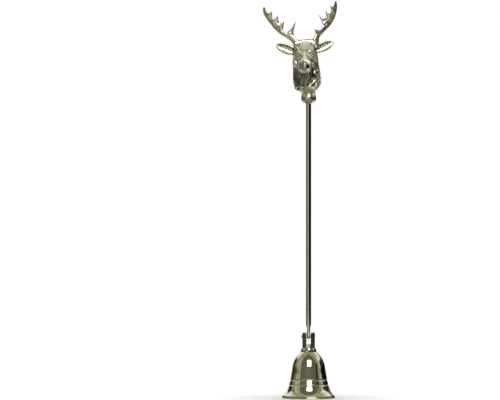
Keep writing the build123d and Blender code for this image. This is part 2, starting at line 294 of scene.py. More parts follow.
def nickelPlate(name, look):
    # nickel plate over brass or iron, polished: a warm pale grey mirror with patches of thin film, smears from
    # handling and hairline scratches; a casting is also dark and dull in its hollows and painted dark as shade,
    # and pale and matt as a painted highlight, where headTones says; real hairlines are hundredths of a millimetre
    # wide, and are drawn at about 0.2 to 0.3 mm so that they show
    material, tree = newMaterial(name)
    place = addNode(tree, "ShaderNodeTexCoord").outputs["Object"]
    stretched = addNode(tree, "ShaderNodeMapping", {"Vector": place, "Scale": look["scratchStretch"]}).outputs["Vector"]
    ranges = {"film": (0, 1), "smear": look["roughness"]}
    film, rough = (
        addNode(tree, "ShaderNodeMapRange", {
            "Value": addNode(tree, "ShaderNodeTexNoise", {
                "Vector": place, "Scale": perMetre(look[kind + "Size"]), "Detail": detail}).outputs["Fac"],
            "From Min": noiseRange[kind][0], "From Max": noiseRange[kind][1],
            "To Min": ranges[kind][0], "To Max": ranges[kind][1]}).outputs["Result"]
        for kind, detail in (("film", 3), ("smear", 4)))
    # Mix has its sockets by place: 0 is the share, 2 and 3 are numbers, and 6 and 7 are colours
    colour = addNode(tree, "ShaderNodeMix", {
        0: film, 6: linearColour(look["colour"]), 7: linearColour(look["filmColour"])}, data_type="RGBA").outputs[2]
    if "hollowColour" in look:
        # first a paler, duller finish painted as highlight, then a dark, dull one painted as shade, as the attributes
        # say
        for kind in ("matteHighlight", "hollow"):
            amount = addNode(tree, "ShaderNodeAttribute", attribute_name=kind).outputs["Fac"]
            colour = addNode(tree, "ShaderNodeMix", {
                0: amount, 6: colour, 7: linearColour(look[kind + "Colour"])}, data_type="RGBA").outputs[2]
            rough = addNode(tree, "ShaderNodeMix", {0: amount, 2: rough, 3: look[kind + "Roughness"]}).outputs[0]
    relief = {}
    for kind, where, detail in (("scratch", stretched, 2), ("grain", place, 3)):
        if kind + "Size" in look:
            cloud = addNode(tree, "ShaderNodeTexNoise", {
                "Vector": where, "Scale": perMetre(look[kind + "Size"]), "Detail": detail})
            relief["Normal"] = addNode(tree, "ShaderNodeBump", {
                "Height": cloud.outputs["Fac"], "Strength": look[kind + "Strength"],
                "Distance": look[kind + "Depth"] * mm, **relief}).outputs["Normal"]
    shader = addNode(tree, "ShaderNodeBsdfPrincipled", {
        "Base Color": colour, "Metallic": 1, "Roughness": rough, **relief})
    addNode(tree, "ShaderNodeOutputMaterial", {"Surface": shader.outputs["BSDF"]})
    return material


# camera, lamp and studio
studio = {
    "pixel": 0.76, "imageWidth": 500, "distance": 3000, "aimX": -44.5, "aimZ": -37.2, "height": -21,
    "sensor": 36, "clip": (0.05, 60),
    "worldLevel": 0.74, "cardRadius": 1600, "cardCentreZ": -120, "shellLow": -75, "tableLift": 0.25,
    "tableRows": (20.5, 60, 150, 210, 500), "floorRows": (0, 60, 500), "floorClear": (24, 80),
    "floorColour": "#f7f6f4",
}
lamp = {"azimuth": 4.5, "elevation": 33.2, "distance": 1500, "width": 680, "height": 770, "power": 7.6}
# what the metal mirrors, painted in this order on a shell round the object over the white of the backdrop:
# azimuth from the camera's side towards +X, elevation, colour, and how soft the border is, in degrees
cards = {
    "ceiling": ((-124, 124), (44, 180), "#aeac97", 24),
    "room": ((-60, 62), (-40, 84), "#69675a", 14),
    "roomMiddle": ((-26, 14), (-40, 72), "#747264", 12),
    "leftCard": ((-112, -62), (-14, 64), "#a3a18a", 10),
    "leftWindow": ((-88, -74), (12, 52), "#c9c7b0", 6),
    "leftLine": ((-99, -95), (4, 40), "#44433a", 3),
    "leftFlag": ((-144, -110), (-14, 27), "#302f28", 9),
    "rightCard": ((54, 84), (8, 66), "#98967e", 9),
    "rightLine": ((50, 64), (7, 27), "#282720", 5),
    "rightFlag": ((90, 140), (-14, 27), "#33332d", 9),
    "rightBack": ((140, 160), (-14, 27), "#747264", 8),
    "lowLeft": ((-112, -50), (-14, 9), "#47453a", 5),
    "lowStrip": ((-42, -4), (-14, 9), "#dbd8c8", 5),
    "lowFlag": ((6, 158), (-14, 9), "#100f0d", 5),
    "yokeRight": ((20, 158), (-12, -3), "#45443a", 2),  # only what stands as low as the yoke mirrors these two
    "yokeStrip": ((-14, 30), (-12, -3), "#f6f4ea", 2),
    "lowFront": ((-96, 96), (-90, -12), "#64624f", 14),
}
# the same for a painted reflection of the table, on a sheet just above the floor that only the metal mirrors:
# azimuth, reach, colour and softness; the rest is white
tableCards = {
    "front": ((-125, 125), (0, 150), "#817e62", 30),
    "left": ((-172, -104), (0, 150), "#12110d", 14),
    "right": ((96, 172), (0, 150), "#12110d", 14),
    "middle": ((-6, 24), (0, 90), "#ffffff", 8),
    "far": ((-112, 112), (150, 500), "#87846d", 50),
}


def direction(azimuth, elevation):  # (sin a cos e, -cos a cos e, sin e): azimuth 0 points at the camera
    a, e = np.radians(azimuth), np.radians(elevation)
    return np.stack([np.sin(a) * np.cos(e), -np.cos(a) * np.cos(e), np.sin(e)], -1)


def glowingSheet(name, grid, azimuths, heights, bands, hard=False):
    # a sheet that only the metal mirrors: over white, each band's colour shows as far as a place lies inside
    # the band's azimuths and heights, over a soft border; hard gives the heights a sharp one
    colours = np.ones(grid.shape)
    for (left, right), (low, high), text, soft in bands.values():
        off = (azimuths - (left + right) / 2 + 180) % 360 - 180
        within = np.minimum(heights - low, high - heights)
        if hard:
            within = np.where(within < 0, -soft, soft)
        inside = np.minimum((right - left) / 2 - np.abs(off), within)
        colours += smoothStep(-soft / 2, soft / 2, inside)[..., None] * (linearColour(text)[:3] - colours)
    ids = np.arange(azimuths.size).reshape(azimuths.shape)
    quads = np.stack([ids[:-1, :-1], ids[:-1, 1:], ids[1:, 1:], ids[1:, :-1]], -1).reshape(-1, 4)
    mesh = bpy.data.meshes.new(name)
    mesh.from_pydata((grid.reshape(-1, 3) * mm).tolist(), [], quads.tolist())
    paint = np.concatenate([colours, np.ones((*azimuths.shape, 1))], -1).astype(np.float32)
    mesh.attributes.new("paint", "FLOAT_COLOR", "POINT").data.foreach_set("color", paint.ravel())
    # painted card under its own light: it glows evenly in its own colours, and is seen only in what the metal mirrors
    material, tree = newMaterial(name)
    tone = addNode(tree, "ShaderNodeAttribute", attribute_name="paint").outputs["Color"]
    glow = addNode(tree, "ShaderNodeEmission", {"Color": tone, "Strength": 1})
    addNode(tree, "ShaderNodeOutputMaterial", {"Surface": glow.outputs[0]})
    mesh.materials.append(material)
    piece = newObject(name, mesh)
    piece.visible_camera = piece.visible_diffuse = piece.visible_shadow = piece.visible_transmission = False


def studioShell():  # the direction of each azimuth and elevation times the radius, painted with the cards
    azimuths, elevations = np.meshgrid(np.arange(-180, 181), np.arange(studio["shellLow"], 91))
    grid = direction(azimuths, elevations) * studio["cardRadius"] + [0, 0, studio["cardCentreZ"]]
    glowingSheet("studioShell", grid, azimuths, elevations, cards)


def studioTable(height):  # the level direction of each azimuth times each reach, painted in the same way
    azimuths, reach = np.meshgrid(np.arange(-180, 181), studio["tableRows"])
    grid = direction(azimuths, 0 * reach) * reach[..., None] + [0, 0, height + studio["tableLift"]]
    glowingSheet("studioTable", grid, azimuths, reach, tableCards, hard=True)


def seenRay(tree):  # 1 for camera, glossy and transmission rays, and 0 for the rays that carry light
    path = addNode(tree, "ShaderNodeLightPath").outputs
    share = path["Is Camera Ray"]
    for kind in ("Is Glossy Ray", "Is Transmission Ray"):
        share = addNode(tree, "ShaderNodeMath", {0: share, 1: path[kind]}, operation="MAXIMUM").outputs[0]
    return share


def makeStudio():
    # a long lens from the -Y side, aimed slightly down; a world that lights plainly and looks white; the floor,
    # the softbox, and the two painted sheets
    scene = bpy.context.scene
    scene.view_settings.view_transform = "Standard"
    data = bpy.data.cameras.new("camera")
    data.sensor_width = studio["sensor"]
    data.lens = studio["sensor"] * studio["distance"] / (studio["pixel"] * studio["imageWidth"])
    data.clip_start, data.clip_end = studio["clip"]
    camera = newObject("camera", data)
    camera.location = (studio["aimX"] * mm, -studio["distance"] * mm, studio["height"] * mm)
    drop = math.atan2(studio["height"] - studio["aimZ"], studio["distance"])
    camera.rotation_euler = (math.pi / 2 - drop, 0, 0)
    scene.camera = camera

    world = bpy.data.worlds.new("studio")
    scene.world = world
    world.use_nodes = True
    tree = world.node_tree
    tree.nodes.clear()
    light = addNode(tree, "ShaderNodeBackground", {"Color": (1, 1, 1, 1), "Strength": studio["worldLevel"]})
    white = addNode(tree, "ShaderNodeBackground", {"Color": (1, 1, 1, 1), "Strength": 1})
    both = addNode(tree, "ShaderNodeMixShader", {0: seenRay(tree), 1: light.outputs[0], 2: white.outputs[0]})
    addNode(tree, "ShaderNodeOutputWorld", {"Surface": both.outputs[0]})

    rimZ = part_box("bell")[0].z / mm
    floor = meshObject("floor", [turned([(r, rimZ) for r in studio["floorRows"]], 96)])
    # matt white paper: an even white that shows nothing but the object's soft shadow, and fades out further off
    material, tree = newMaterial("paper sweep, matt white")
    place = addNode(tree, "ShaderNodeTexCoord").outputs["Object"]
    flat = addNode(tree, "ShaderNodeVectorMath", {0: place, 1: (1, 1, 0)}, operation="MULTIPLY")
    far = addNode(tree, "ShaderNodeVectorMath", {0: flat.outputs[0]}, operation="LENGTH")
    near, clear = studio["floorClear"]
    fade = addNode(tree, "ShaderNodeMapRange", {
        "Value": far.outputs["Value"], "From Min": near * mm, "From Max": clear * mm}, interpolation_type="SMOOTHSTEP")
    share = addNode(tree, "ShaderNodeMath", {0: fade.outputs["Result"], 1: seenRay(tree)}, operation="MULTIPLY")
    paper = addNode(tree, "ShaderNodeBsdfDiffuse", {"Color": linearColour(studio["floorColour"])})
    white = addNode(tree, "ShaderNodeEmission", {"Color": (1, 1, 1, 1), "Strength": 1})
    both = addNode(tree, "ShaderNodeMixShader", {0: share.outputs[0], 1: paper.outputs[0], 2: white.outputs[0]})
    addNode(tree, "ShaderNodeOutputMaterial", {"Surface": both.outputs[0]})
    floor.data.materials.append(material)

    softbox = bpy.data.lights.new("softbox", "AREA")
    softbox.shape, softbox.size, softbox.size_y = "RECTANGLE", lamp["width"] * mm, lamp["height"] * mm
    softbox.energy = lamp["power"]
    hung = newObject("softbox", softbox)
    away = direction(lamp["azimuth"], lamp["elevation"])
    hung.location = away * lamp["distance"] * mm + np.array([0, 0, studio["cardCentreZ"] * mm])
    hung.rotation_euler = (math.pi / 2 - math.radians(lamp["elevation"]), 0, math.radians(lamp["azimuth"]))
    hung.visible_camera = False
    studioShell()
    studioTable(rimZ)
    print("studio made")


# handle rod
rodShape = {
    "radius": 2, "topZ": 49.5, "pinZ": -140.9, "chamfer": 0.5, "tang": 2.6, "flatLength": 6.8, "runout": 2.4,
    "hole": 1.05, "edge": 0.12, "endRows": 14, "rows": 60, "segments": 128,
}
# a drawn rod polished lengthways: a clean mirror, whose fine upright lines spread what it mirrors sideways
rodLook = {
    "colour": "#dbdcd1", "filmColour": "#cccbba", "filmSize": 14, "scratchStretch": (1, 1, 0.02), "scratchSize": 0.25,
    "scratchStrength": 0.4, "scratchDepth": 0.003, "smearSize": 7, "roughness": (0.03, 0.09),
}


def makeRod():
    # a turned bar with a half-round lower end; a wedge on each side cuts the tang's flat and its sloping end
    v = rodShape
    lower = arcPoints((0, v["pinZ"]), v["radius"], (-90, 0), v["endRows"])
    rise = np.linspace(v["pinZ"], v["topZ"] - v["chamfer"], v["rows"])[1:]
    profile = [*lower, *((v["radius"], z) for z in rise), (v["radius"] - v["chamfer"], v["topZ"]), (0, v["topZ"])]
    piece = meshObject("handleRod", [turned(profile, v["segments"])])
    half, flatTop = v["tang"] / 2, v["pinZ"] + v["flatLength"]
    far, bottom = 2 * v["radius"], v["pinZ"] - 2 * v["radius"]
    slopeTop = flatTop + v["runout"] * (far - half) / (v["radius"] - half)
    cutters = [
        prism([(s * half, bottom), (s * half, flatTop), (s * far, slopeTop), (s * far, bottom)], -far, far)
        for s in (-1, 1)
    ]
    cutAway(piece, [*cutters, crossBore(v["hole"], -far, far, v["pinZ"])])
    softenEdges(piece, v["edge"])
    plate = nickelPlate("nickel plate, drawn rod polished lengthways", rodLook)
    finishPiece(piece, plate, "handle", "rod_metal", "handle_rod")
    print("handle rod made")


# bell
bellShape = {
    "radius": 20, "crownZ": -152.7, "height": 35.2, "wall": 1.4, "crown": 2.2, "seat": 6.4, "land": 5.2, "hole": 2.1,
    "lip": 2.2, "lipRound": 0.4, "grooves": (0.402, 0.294), "grooveDepth": 0.35, "grooveWidth": 1.1,
    "shares": ((0.495, 0.892), (0.607, 0.748), (0.642, 0.650), (0.670, 0.550), (0.706, 0.440), (0.7195, 0.402),
               (0.7635, 0.294), (0.808, 0.215), (0.8855, 0.132)),
    "segments": 288, "outerRows": 150, "innerRows": 70, "edgeRows": 7, "waver": 0.006, "waverSize": 9,
}
# turned, and mirror-polished as it spun: as clear a mirror as the rod, with very fine lines round it
bellLook = {
    "colour": "#dddbc9", "filmColour": "#d0ceb8", "filmSize": 11, "scratchStretch": (0.06, 0.06, 1),
    "scratchSize": 0.22, "scratchStrength": 0.35, "scratchDepth": 0.003, "smearSize": 6, "roughness": (0.03, 0.09),
}


def shiftedIn(points, distance):  # each inner point moves square to the chord between its two neighbours
    chord = points[2:] - points[:-2]
    size = np.linalg.norm(chord, axis=1)[:, None]
    return points[1:-1] + distance * np.column_stack([chord[:, 1], -chord[:, 0]]) / size


def makeBell():
    # a turned profile: a spline outside, less half-ellipse grooves, the rounded rim, and inside it the same
    # spline moved in by the wall; noise then moves each place a little towards the axis
    v = bellShape
    rimZ = v["crownZ"] - v["height"]
    lipTop, inside = (v["radius"], rimZ + v["lip"]), v["crownZ"] - v["crown"]
    knots = [(r * v["radius"], rimZ + z * v["height"]) for r, z in v["shares"]]
    outerKnots = np.array([(v["seat"], v["crownZ"]), *knots, lipTop])
    outer = splineThrough(outerKnots, v["outerRows"])
    for z in v["grooves"]:
        off = (outer[:, 1] - (rimZ + z * v["height"])) / (v["grooveWidth"] / 2)
        outer[:, 0] -= v["grooveDepth"] * np.sqrt(np.clip(1 - off**2, 0, 1))
    edge = arcPoints((v["radius"] - v["lipRound"], rimZ + v["lipRound"]), v["lipRound"], (0, -90), v["edgeRows"])
    innerKnots = [(v["radius"] - v["wall"], rimZ), *shiftedIn(outerKnots, v["wall"])[::-1], (v["land"], inside)]
    inner = splineThrough(innerKnots, v["innerRows"])
    down = np.linspace(lipTop, edge[0], v["edgeRows"])[1:-1]
    grid = turned([*outer, *down, *edge, *inner, (v["hole"], inside), (v["hole"], v["crownZ"])], v["segments"])
    points = grid.reshape(-1, 3)
    push = v["waver"] * (latticeNoise(points, v["waverSize"], 5) - 1)  # only inwards
    away = points * [1, 1, 0] / np.maximum(np.linalg.norm(points[:, :2], axis=1), 1)[:, None]
    piece = meshObject("bellShell", [(points + away * push[:, None]).reshape(grid.shape)], loop=True)
    smoothShade(piece, 35)
    finishPiece(piece, nickelPlate("nickel plate, turned bell mirror-polished", bellLook), "bell", "bell_metal", "bell")
    print("bell made")


# yoke, rivet, washer and screw
yokeShape = {
    "radius": 4.9, "topZ": -137.4, "pinZ": -140.9, "slotWidth": 3.2, "slotFloorZ": -146.6, "flangeTopZ": -150.1,
    "crownZ": -152.7, "flangeTop": 5.6, "flangeBottom": 6.2, "flangeRound": 0.35, "bead": 0.4, "chamfer": 0.7,
    "shoulder": 2.8, "seatX": 4.65, "seatRadius": 1.6, "pinRadius": 1, "screwRadius": 2, "screwDepth": 3.9,
    "edge": 0.1, "edgeRows": 7, "beadRows": 9, "postRows": 16, "shoulderRows": 12, "clear": 3, "segments": 144,
}
# turned and polished: a mirror a little softer than the bell's, with stronger lines round it
yokeLook = {
    "colour": "#dadbc9", "filmColour": "#cac9b4", "filmSize": 6, "scratchStretch": (0.08, 0.08, 1), "scratchSize": 0.2,
    "scratchStrength": 0.45, "scratchDepth": 0.004, "smearSize": 4, "roughness": (0.05, 0.14),
}
pinShape = {
    "shank": 1, "head": 1.45, "seatX": 4.65, "headHeight": 0.9, "peenHeight": 0.45, "z": -140.9, "segments": 72,
}
# a rivet hammered over and not polished again: small dents that break up its shine
pinLook = {
    "colour": "#d6d5c4", "filmColour": "#bfbda8", "filmSize": 2, "scratchStretch": (1, 1, 1), "scratchSize": 0.3,
    "scratchStrength": 0.6, "scratchDepth": 0.01, "smearSize": 2, "roughness": (0.08, 0.2),
}
screwShape = {
    "shank": 2, "topZ": -148.9, "tip": 0.4, "seatZ": -155.5, "head": 3.6, "headHeight": 2.4, "slotWidth": 1,
    "slotDepth": 1.1, "washer": 4.5, "washerHole": 2.1, "washerTopZ": -154.9, "washerHigh": 0.6, "washerEdge": 0.12,
    "washerSoft": 0.04, "edge": 0.08, "clear": 2, "segments": 96,
}
# turned steel without plate: the same layers in a darker grey, dulled by fine tool marks
steelLook = {
    "colour": "#c4c3bd", "filmColour": "#aeaca4", "filmSize": 3, "scratchStretch": (1, 1, 1), "scratchSize": 0.18,
    "scratchStrength": 0.6, "scratchDepth": 0.006, "smearSize": 2.5, "roughness": (0.22, 0.38),
}


def capProfile(radius, height, base, way, count=12):
    # a round cap as part of a circle through its edge and its top, from the edge inwards to the axis
    sphere = (radius**2 + height**2) / (2 * height)
    edge = math.degrees(math.acos(min(1, radius / sphere)))
    return [*arcPoints((0, base - way * (sphere - height)), (sphere, way * sphere), (edge, 90), count)]


def makeYoke():
    # a turned post with a rounded flange and a bead, less the slot, what lies outside the ears' shoulders, the
    # rivet's bore and seats, and the screw's hole
    v = yokeShape
    top, corner = v["flangeTopZ"], v["flangeRound"]
    flange = arcPoints((v["flangeBottom"] - corner, v["crownZ"] + corner), corner, (-90, 0), v["edgeRows"])
    bead = arcPoints((v["radius"], top), v["bead"], (0, 90), v["beadRows"])
    post = [(v["radius"], z) for z in np.linspace(bead[-1][1] + 0.05, v["topZ"] - v["chamfer"], v["postRows"])]
    profile = [(0, v["crownZ"]), *flange, (v["flangeTop"], top), *bead, *post,
               (v["radius"] - v["chamfer"], v["topZ"]), (0, v["topZ"])]
    piece = meshObject("bellYoke", [turned(profile, v["segments"])])
    far, half, above = 3 * v["radius"], v["slotWidth"] / 2, v["topZ"] + v["clear"]
    pinZ = v["pinZ"]
    cutters = [block((-half, -far, v["slotFloorZ"]), (half, far, v["topZ"] + v["radius"]))]
    for s in (-1, 1):  # what lies outside the ears' rounded shoulders, seen along the rivet
        inside, level = v["radius"] - v["shoulder"], v["topZ"] - v["shoulder"]
        arc = arcPoints((s * inside, level), (s * v["shoulder"], v["shoulder"]), (0, 90), v["shoulderRows"])
        cutter = prism([*arc, (s * inside, above), (s * far, above), (s * far, level)], -far, far)
        cutter.data.transform(((0, 1, 0, 0), (1, 0, 0, 0), (0, 0, 1, 0), (0, 0, 0, 1)))
        cutter.data.flip_normals()
        cutters += [cutter, crossBore(v["seatRadius"], s * v["seatX"], s * far, pinZ)]
    cutters.append(crossBore(v["pinRadius"], -far, far, pinZ))
    hole = rod(v["screwRadius"], v["crownZ"] - v["clear"], v["crownZ"] + v["screwDepth"])
    cutters.append(meshObject("cutter", [hole]))
    cutAway(piece, cutters)
    softenEdges(piece, v["edge"])
    finishPiece(piece, nickelPlate("nickel plate, turned yoke polished", yokeLook), "bell", "yoke_metal", "bell_yoke")
    print("yoke made")


def makePin():  # a turned shank between a round head and a flatter hammered one, laid along X
    v = pinShape
    head = capProfile(v["head"], v["headHeight"], -v["seatX"], -1)[::-1]
    peen = capProfile(v["head"], v["peenHeight"], v["seatX"], 1)
    profile = [*head, (v["shank"], -v["seatX"]), (v["shank"], v["seatX"]), *peen]
    piece = meshObject("hingePin", [alongX(turned(profile, v["segments"]), v["z"])])
    smoothShade(piece)
    finishPiece(piece, nickelPlate("nickel plate, hammered rivet", pinLook), "bell", "pin_metal", "hinge_pin")
    print("rivet made")


def makeScrewAndWasher():  # a turned ring, and a turned shank under a round head, less the slot across it
    v = screwShape
    steel = nickelPlate("mild steel, turned and left plain", steelLook)
    low = v["washerTopZ"] - v["washerHigh"]
    ring = [(v["washerHole"], low), (v["washer"] - v["washerEdge"], low), (v["washer"], low + v["washerEdge"]),
            (v["washer"], v["washerTopZ"]), (v["washerHole"], v["washerTopZ"])]
    washer = meshObject("crownWasher", [turned(ring, v["segments"])], loop=True)
    softenEdges(washer, v["washerSoft"])
    finishPiece(washer, steel, "bell", "fastener_metal", "crown_washer")
    cap = capProfile(v["head"], v["headHeight"], v["seatZ"], -1)[::-1]
    profile = [*cap, (v["shank"], v["seatZ"]), (v["shank"], v["topZ"] - v["tip"]),
               (v["shank"] - v["tip"], v["topZ"]), (0, v["topZ"])]
    screw = meshObject("crownScrew", [turned(profile, v["segments"])])
    far, half, bottom = 2 * v["head"], v["slotWidth"] / 2, v["seatZ"] - v["headHeight"]
    cutAway(screw, [block((-half, -far, bottom - v["clear"]), (half, far, bottom + v["slotDepth"]))])
    softenEdges(screw, v["edge"])
    finishPiece(screw, steel, "bell", "fastener_metal", "crown_screw")
    print("screw and washer made")


# stag's head, in its own leaning frame: x across, y back and z up from the centre of the boss
headPlace = {"bossZ": 40.5, "lean": 4.7, "voxel": 0.3, "quickVoxel": 0.45, "smoothing": 3, "sharpEdge": 60}
bossShape = {"radii": (5.8, 5.8, 4.9), "power": 2.5, "socket": 2.05, "socketLow": -12, "socketTop": 9}
neckShape = {  # height, half-width, half-depth and how far back
    "stations": ((2, 4.9, 4.8, 0), (4.6, 5.7, 5.5, 0), (6.6, 7.2, 6.6, 0.2), (8.8, 9.2, 8, 0.6),
                 (11.9, 10.1, 8.6, 0.8), (15.8, 10.4, 8.9, 1.1), (22, 10, 8.5, 1.7), (29, 9.4, 8, 2.4),
                 (34.3, 9, 7.4, 3), (38.7, 8.3, 6.2, 3.4), (41.4, 7.6, 4.6, 3.4), (42.9, 6.8, 1.5, 3.2)),
}
skullShape = {  # distance along, half-width, height above and below the axis, and how narrow the top is
    "pitch": 28, "back": 6, "rise": 38.6, "length": 32.4,
    "stations": ((0, 3.6, 3.4, 3.4, 0), (3.4, 6.5, 6.3, 6, 0.1), (9.5, 7.7, 7.2, 7.6, 0.2),
                 (13, 7.1, 6.4, 7.4, 0.35), (17, 5.5, 5.2, 6.4, 0.45), (21, 4.5, 4.6, 5.4, 0.4),
                 (25.6, 4.9, 4.7, 5.4, 0.25), (29, 5.2, 4.8, 5.5, 0.1), (31.2, 4.6, 4, 4.9, 0),
                 (32.4, 3, 2.6, 3.4, 0)),
}
faceForms = {  # centre, radii, squareness and how far the top leans back; those off the middle are mirrored
    "brow": ((3.6, -7.5, 34.5), (3.1, 2.5, 2), 2, 0),
    "eyeball": ((5.6, -7.7, 31.1), (1.6, 1.6, 1.4), 2, 0),
    "muzzle": ((0, -20.6, 23.9), (5.2, 4.2, 5.65), 2.3, 0.15),
}
eyelids = (  # upper and lower, from the inner corner outwards, and half-width
    (((3.4, -9.9, 30.2), (5.2, -9.4, 32.5), (7.5, -6.9, 32.2)), 0.6),
    (((3.5, -9.8, 29.9), (5.5, -9.2, 29.4), (7.4, -6.9, 30.5)), 0.5),
)
faceTurn = {"yaw": 4.5, "pivot": -6}  # the face looks a little towards -X
jaw = {
    "path": ((0, 2, 25), (0, -8, 22.8), (0, -18.6, 21.3)), "widths": (4.4, 3.7, 3.6), "depths": (3.4, 3.1, 2.7),
}
mouth = {"below": 3.1, "wave": 0.5, "waving": 0.35, "width": 0.4, "depth": 0.32, "starts": (19.5, 22.5)}
muzzlePad = {
    "middle": (0, 23.9), "radii": (5.2, 5.65), "depth": 0.4, "edge": (0.82, 0.64), "front": (-19.5, -21.5),
    # the flat pad is painted half dark as shade and paler and duller as highlight; its rim is painted paler and duller
    "film": 0.5, "matteHighlight": 0.55, "rim": 0.22, "rimPlace": 0.86, "rimWidth": 0.15, "ridge": 0.25, "ridgeWidth": 1.1,
}
foreheadCap = {
    "middle": (0.4, 39), "radii": (5.5, 3.2), "edge": (1, 0.82), "front": 1, "height": 0.2, "curl": 0.22,
    "curlSize": 0.8, "curlMean": 0.3,
}
neckLocks = (  # long locks that cross the neck, and last the jaw's fold: path, then half-width at its middle
    (((9.6, -3.6, 16.8), (7, -5.9, 14.8), (3.9, -7.4, 12)), 0.75),
    (((9.9, -3, 15.9), (6.2, -6.3, 12.6), (2, -7.6, 9.4)), 1.1),
    (((10.6, -1, 15), (8.2, -4.3, 11.2), (4.7, -6.4, 7.9)), 1.05),
    (((10.3, 0.4, 12), (8.7, -2.8, 9.2), (6.2, -4.8, 6.4)), 0.9),
    (((-9.2, -3, 12.6), (-7.4, -5, 9.6), (-4.4, -6.2, 7.4)), 0.9),
    (((3.6, -7.4, 10.9), (1.2, -7, 8.8), (-0.6, -5.8, 6.4)), 1.2),
    (((7.4, -5, 9), (4.8, -5.8, 7.4), (2.6, -5.2, 5.4)), 1.1),
    (((-9.4, -1.6, 10.4), (-8.5, -2.4, 8), (-6.3, -2.6, 6.2)), 1.4),
    (((-8.3, -3.6, 32), (-7.7, -5.2, 27.6), (-6.4, -6.4, 23.2)), 1.15),
)
faceSwells = {  # centre, radii and height of each swelling, below 0 for a hollow; all are mirrored
    "cheek": ((6.4, -6, 27), (3, 5, 4.2), 0.9),
    "eyeCorner": ((3.6, -10.4, 30.2), (0.8, 1.4, 0.7), -0.5),
    "tearLine": ((4, -12.4, 28.6), (0.8, 2.6, 0.9), -0.45),
    "bridgeSide": ((3.6, -13, 31.2), (1.3, 3.4, 1.6), -0.3),
}
chestSwell = ((2.4, -7.6, 6.8), (4.2, 5, 1.8), 1.6)  # the same for the chest, on the +X side only
nostrils = (((2.8, -24, 22.9), (1.1, 2.6, 1.05), 2.6), ((-3.7, -23.6, 24.2), (0.45, 2.4, 2), 1.2))
nostrilShade = {"wider": (1.1, 3, 1.1), "strength": 1.5}  # the painted shade in each nostril reaches further than the nostril
spots = {  # centre, radii and strength of the places painted darker, as shade, or paler, as highlight, than round them
    # jowl: painted highlight
    "jowl": ((8.6, -5, 27.4), (2.8, 6, 4.8), 1),
    # throat: painted shade under the muzzle
    "throat": ((4.4, -7, 18.4), (4.2, 6, 4.8), 1.3),
    # chest and brow: painted highlight
    "chest": ((2.8, -7, 7.6), (4.6, 5, 3), 1.4),
    "brow": ((3.5, -9.6, 34.9), (1.5, 3, 1.1), 0.9),
    # eye: painted shade
    "eye": ((5.9, -8.2, 31.1), (1.3, 1.6, 1), 1),
    "crown": ((0.4, 0, 42.8), (7, 5, 1.8), 0.8),
}
curlRing = {
    "middle": (7.9, 18.5), "radius": 1.45, "width": 0.5, "hollow": 0.55, "height": 0.75, "bright": (2.8, 2.1),
}
# where the neck's fur is painted dark, as shade below the muzzle, or painted bright, as highlight on its ridges;
# the line between them goes through "along", square to "square"
neckDark = {
    "low": (7.5, 10), "high": (33, 27), "ground": 0.72, "lock": (0.5, 1.5), "along": (3, 11.2),
    "square": (0.605, -0.796), "soft": 1.4, "ridgeHighlight": 0.35, "deeper": 0.8, "ridge": (0, 0.15), "plain": 0.75,
    "behind": 3, "top": 24, "boss": (4.2, 5.6), "throat": 0.95,
}
# how many steps of blur the hollows are measured by, and how deep they are where their darkening begins and is
# full; the chest's painted highlight follows its ridges
sunkTonesShape = {"blur": 14, "sunk": (0.03, 0.24), "most": 0.9, "chestRidge": (-0.1, 0.12)}
earShape = {  # share along, half-width, wall outwards and hollow inwards
    "rootX": 6.3, "rootY": 2.5, "rootZ": 35,
    -1: ((0, 2.1, 1.5, 0), (0.2, 3.3, 2, 1.3), (0.5, 3.9, 2.1, 1.4),
         (0.76, 3.3, 1.8, 1.2), (0.93, 1.8, 1, 0.5), (1, 0.5, 0.4, 0)),
    1: ((0, 2.1, 1.5, 0), (0.2, 3, 2, 1.3), (0.45, 3.8, 2.1, 1.4),
        (0.7, 3.5, 1.8, 1.2), (0.9, 1.5, 1, 0.5), (1, 0.25, 0.3, 0)),
    "rise": {-1: 25, 1: 20}, "reach": {-1: 16.6, 1: 17.6}, "sweep": {-1: -0.4, 1: 1.2},
    "rim": 0.5, "back": 0.3, "ramp": (-0.62, 0.36), "steep": (0.74, 0.4),
}
